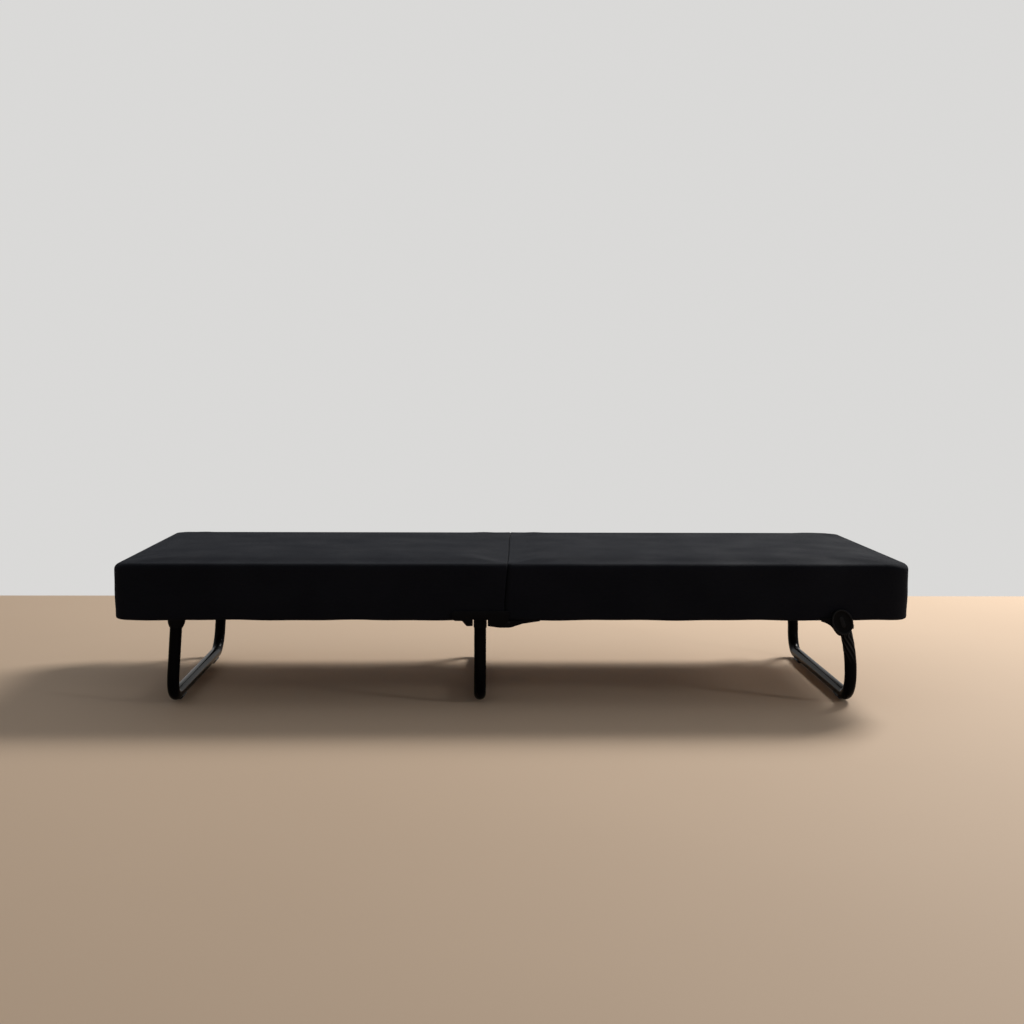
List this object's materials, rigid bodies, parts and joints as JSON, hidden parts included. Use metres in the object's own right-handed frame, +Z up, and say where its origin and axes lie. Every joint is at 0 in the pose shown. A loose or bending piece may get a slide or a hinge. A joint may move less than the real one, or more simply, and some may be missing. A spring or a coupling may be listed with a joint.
{
  "type": "folding bed",
  "caption": "Low single folding bed: two boxed fabric pads on steel frames, hinged under their seam, on U-shaped fold-in legs.",
  "frame": {"origin": "on the floor, under the middle of the open bed's overall box", "axes": "+X along the bed to the end with the knuckle caps, +Y away from the front, +Z up"},
  "size_m": [1.83, 0.7764, 0.342],
  "materials": {
    "cover_cloth": "plain black woven polyester, matt",
    "foam": "open-cell foam",
    "frame_paint": "satin black powder coat",
    "leg_paint": "semi-gloss black stoved enamel",
    "plate_paint": "satin black powder coat",
    "cap_plastic": "satin moulded",
    "black_plastic": "moulded",
    "glide_plastic": "moulded nylon",
    "bright_steel": "zinc plated",
    "black_steel": "black zinc plated",
    "slat_wood": "birch, unvarnished"
  },
  "bodies": {
    "left_half": {"left_cover": "cover_cloth", "left_foam_core": "foam", "left_side_rails": "frame_paint", "left_cross_tubes": "frame_paint", "left_rail_plugs": "black_plastic", "left_slats": "slat_wood", "left_slat_holders": "black_plastic", "left_leg_axles": "bright_steel", "left_leg_washers": "bright_steel", "left_leg_stops": "frame_paint", "centre_leg_axles": "bright_steel", "centre_leg_washers": "bright_steel", "centre_leg_stops": "frame_paint", "hinge_inner_plates": "frame_paint", "hinge_outer_plates": "plate_paint", "hinge_outer_studs": "black_steel", "hinge_pins": "black_steel", "hinge_retainers": "bright_steel"},
    "right_half": {"right_cover": "cover_cloth", "right_foam_core": "foam", "right_side_rails": "frame_paint", "right_cross_tubes": "frame_paint", "right_rail_plugs": "black_plastic", "right_slats": "slat_wood", "right_slat_holders": "black_plastic", "right_leg_axles": "bright_steel", "right_leg_washers": "bright_steel", "right_leg_stops": "frame_paint", "hinge_tapered_plates": "plate_paint", "knuckle_plates": "plate_paint", "knuckle_caps": "cap_plastic", "knuckle_studs": "black_steel", "lever_pins": "black_steel"},
    "left_leg": {"left_leg_tube": "leg_paint", "left_leg_collars": "plate_paint", "left_leg_bushes": "glide_plastic", "left_leg_glides": "glide_plastic"},
    "centre_leg": {"centre_leg_tube": "leg_paint", "centre_leg_collars": "plate_paint", "centre_leg_bushes": "glide_plastic", "centre_leg_glides": "glide_plastic"},
    "right_leg": {"right_leg_tube": "leg_paint", "right_leg_collars": "plate_paint", "right_leg_bushes": "glide_plastic", "right_leg_glides": "glide_plastic"},
    "front_lever": {"front_thumb_lever": "black_plastic"},
    "rear_lever": {"rear_thumb_lever": "black_plastic"}
  },
  "joints": [
    {"name": "fold", "type": "hinge", "parent": "left_half", "child": "right_half", "pos_m": [-0.014, 0, 0.203], "axis": [0, 1, 0], "range_deg": [0, 180]},
    {"name": "left_leg_fold", "type": "hinge", "parent": "left_half", "child": "left_leg", "pos_m": [-0.778, 0, 0.225], "axis": [0, -1, 0], "range_deg": [0, 94]},
    {"name": "centre_leg_fold", "type": "hinge", "parent": "left_half", "child": "centre_leg", "pos_m": [-0.079, 0, 0.225], "axis": [0, 1, 0], "range_deg": [0, 90]},
    {"name": "right_leg_fold", "type": "hinge", "parent": "right_half", "child": "right_leg", "pos_m": [0.762, 0, 0.225], "axis": [0, 1, 0], "range_deg": [0, 97.1]},
    {"name": "front_lever_press", "type": "hinge", "parent": "right_half", "child": "front_lever", "pos_m": [0.753, -0.3785, 0.195], "axis": [0, 1, 0], "range_deg": [0, 10], "stiffness_Nm_per_rad": 0.2, "springref_deg": -11.46},
    {"name": "rear_lever_press", "type": "hinge", "parent": "right_half", "child": "rear_lever", "pos_m": [0.753, 0.3785, 0.195], "axis": [0, 1, 0], "range_deg": [0, 10], "stiffness_Nm_per_rad": 0.2, "springref_deg": -11.46}
  ],
  "couplings": [
    {"joint": "left_leg_fold", "follows": "fold", "ratio": 0.52222},
    {"joint": "centre_leg_fold", "follows": "fold", "ratio": 0.5},
    {"joint": "right_leg_fold", "follows": "fold", "ratio": 0.53944}
  ]
}
